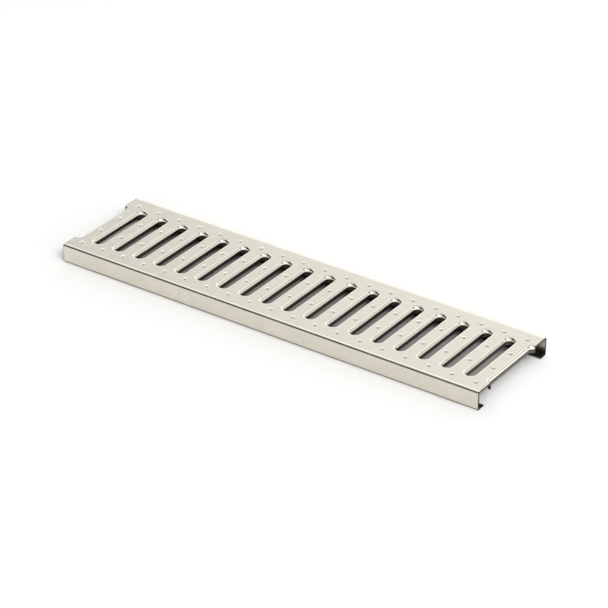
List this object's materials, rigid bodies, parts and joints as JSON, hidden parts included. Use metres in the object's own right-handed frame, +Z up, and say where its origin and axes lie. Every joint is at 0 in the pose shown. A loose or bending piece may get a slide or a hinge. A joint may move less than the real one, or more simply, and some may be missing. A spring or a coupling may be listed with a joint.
{
  "type": "channel drain grate",
  "caption": "Long pressed-steel channel grate: flat deck with cross slots drawn down at their rims, raised round studs, and sides folded down with lips turned in.",
  "frame": {"origin": "middle of the grate, on the plane that the undersides of its two lips rest on", "axes": "+X along the grate, +Y across it along the slots, +Z up out of the deck"},
  "size_m": [0.5, 0.124, 0.0205],
  "materials": {
    "steel": "pickled stainless steel with an even, fine satin surface"
  },
  "bodies": {
    "root": {"grate": "steel"}
  },
  "joints": []
}
